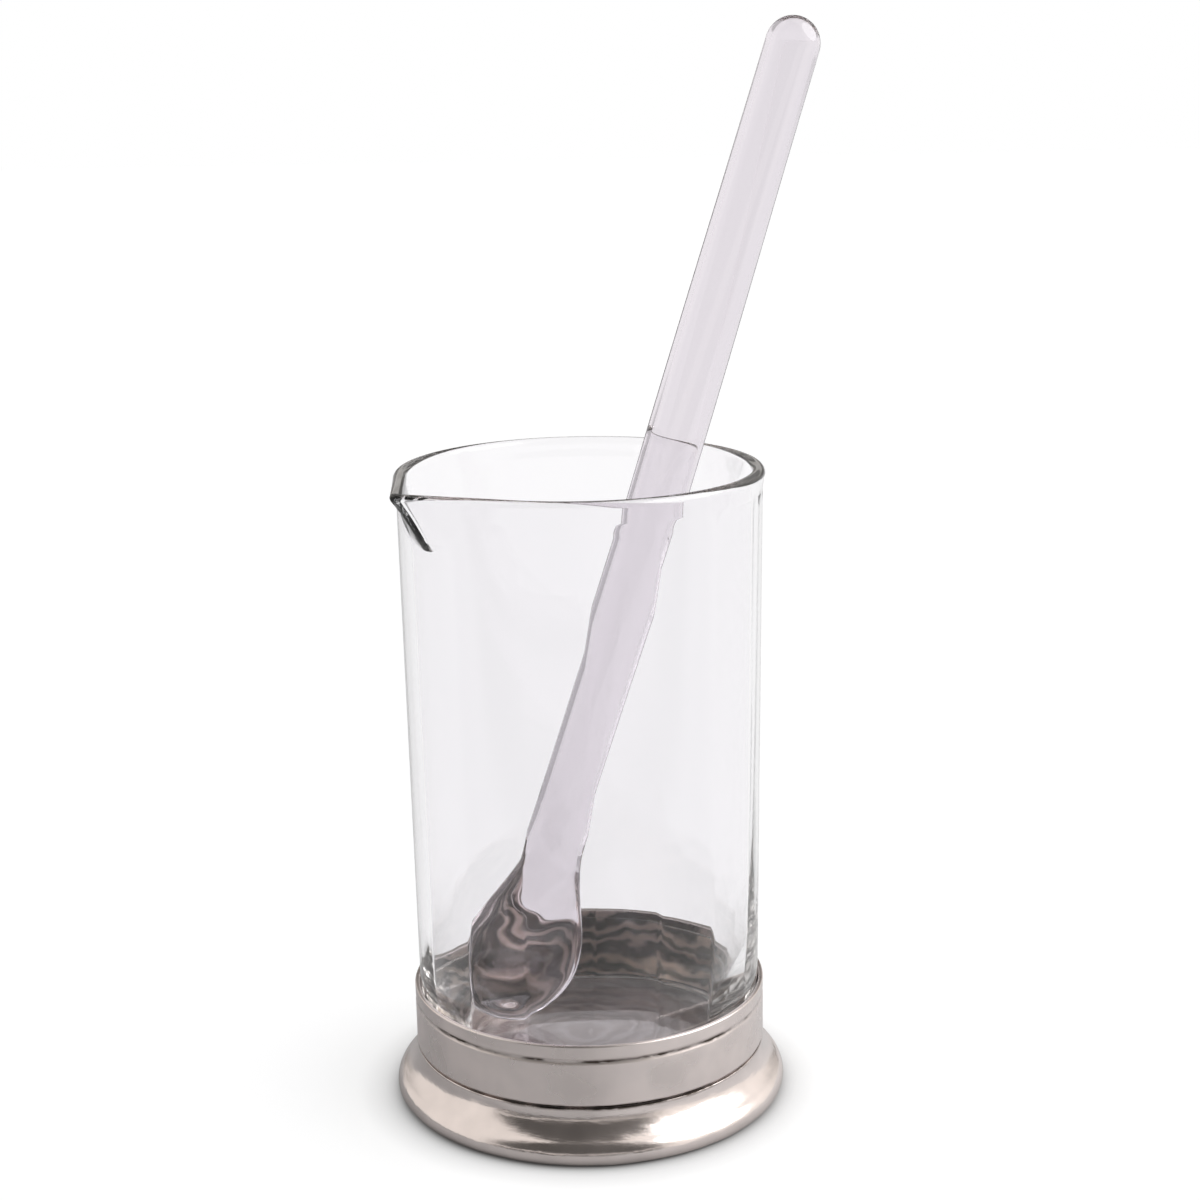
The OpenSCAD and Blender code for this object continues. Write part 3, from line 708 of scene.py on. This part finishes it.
floor_mesh = bpy.data.meshes.new("floor")
half = floor_size / 2 * MM
corners = [(-half, -half), (half, -half), (half, half), (-half, half)]
floor_mesh.from_pydata([(x, y, -floor_drop * MM) for x, y in corners], [], [(0, 1, 2, 3)])
floor_mesh.materials.append(floor_material())
floor = bpy.data.objects.new("floor", floor_mesh)
bpy.context.scene.collection.objects.link(floor)

left_wall, right_wall, behind = (-1.15, -0.85), (0.6, 0.85), (2.2, 2.8)  # radians from the front
strip_z, strip_edge = 0.17, (0.03, 0.07)  # heights of the sky, as shares of its radius
ceiling, camera_side = (0.42, 0.68), (-0.8, -0.6)
left_level, right_level, behind_share, strip_level = 0.97, 1.05, 0.2, 0.75
dark, metal_dark = 0.1, 0.11


def studio_world():
    """White to the camera. Glass shows it white low down and dark above; pewter mirrors a broad
    bright wall on either side, with the dark camera side and one low strip of light between."""
    world = bpy.data.worlds.new("studio")
    bpy.context.scene.world = world
    world.use_nodes = True
    tree = world.node_tree
    background = tree.nodes["Background"]
    way = add(tree, "ShaderNodeSeparateXYZ", {
        0: add(tree, "ShaderNodeTexCoord").outputs["Generated"]}).outputs
    around_z = calc(tree, "ARCTAN2", way["X"], calc(tree, "MULTIPLY", way["Y"], -1.0))
    walls = calc(tree, "MAXIMUM", ramp(tree, around_z, *left_wall, left_level, metal_dark),
                 ramp(tree, around_z, *right_wall, metal_dark, right_level))
    from_front = calc(tree, "ABSOLUTE", around_z)
    walls = calc(tree, "MULTIPLY", walls, ramp(tree, from_front, *behind, 1.0, behind_share))
    off_strip = calc(tree, "ABSOLUTE", calc(tree, "SUBTRACT", way["Z"], strip_z))
    metal = calc(tree, "MAXIMUM", walls, ramp(tree, off_strip, *strip_edge, strip_level, metal_dark))
    glass = calc(tree, "MULTIPLY", ramp(tree, way["Z"], *ceiling, 1.0, dark),
                 ramp(tree, way["Y"], *camera_side, dark, 1.0))
    camera_ray, _, mirrored = ray_kinds(tree)
    shown = calc(tree, "MAXIMUM", camera_ray, blend(tree, mirrored, glass, metal, "FLOAT"))
    tree.links.new(shown, background.inputs["Strength"])
    tree.links.new(blend(tree, mirrored, (1, 1, 1, 1), (1, 0.965, 0.92, 1)), background.inputs["Color"])


studio_world()

lamp_place = Vector((800, -150, 600)) * MM
lamp_data = bpy.data.lights.new("key", "SUN")
lamp_data.energy, lamp_data.angle = 1.6, radians(50)
lamp = bpy.data.objects.new("key", lamp_data)
lamp.location = lamp_place
lamp.rotation_euler = (-lamp_place).to_track_quat("-Z", "Y").to_euler()
bpy.context.scene.collection.objects.link(lamp)

# Camera: the photograph's place, tilt and lens, found from the ellipses of the rim and the foot.
# Light needs many bounces to come through the vessel, the stirrer and the cement behind them.
camera_place = (4.86, -592.6, 290.6)
camera_tilt, camera_roll, camera_yaw = 13.887, -1.0256, 0.0246
camera_lens, sensor_w = 65.72, 36
camera_data = bpy.data.cameras.new("camera")
camera_data.lens = camera_lens
camera_data.sensor_width = sensor_w
camera_data.clip_start, camera_data.clip_end = 0.01, 50
camera = bpy.data.objects.new("camera", camera_data)
camera.matrix_world = (
    Matrix.Translation(Vector(camera_place) * MM)
    @ Matrix.Rotation(radians(-camera_yaw), 4, "Z") @ Matrix.Rotation(radians(90 - camera_tilt), 4, "X")
    @ Matrix.Rotation(radians(camera_roll), 4, "Z"))
bpy.context.scene.collection.objects.link(camera)
bpy.context.scene.camera = camera
bpy.context.scene.view_settings.view_transform = "Standard"
glass_bounces = 64
bpy.context.scene.cycles.max_bounces = glass_bounces
bpy.context.scene.cycles.transmission_bounces = glass_bounces
bpy.context.scene.cycles.glossy_bounces = glass_bounces
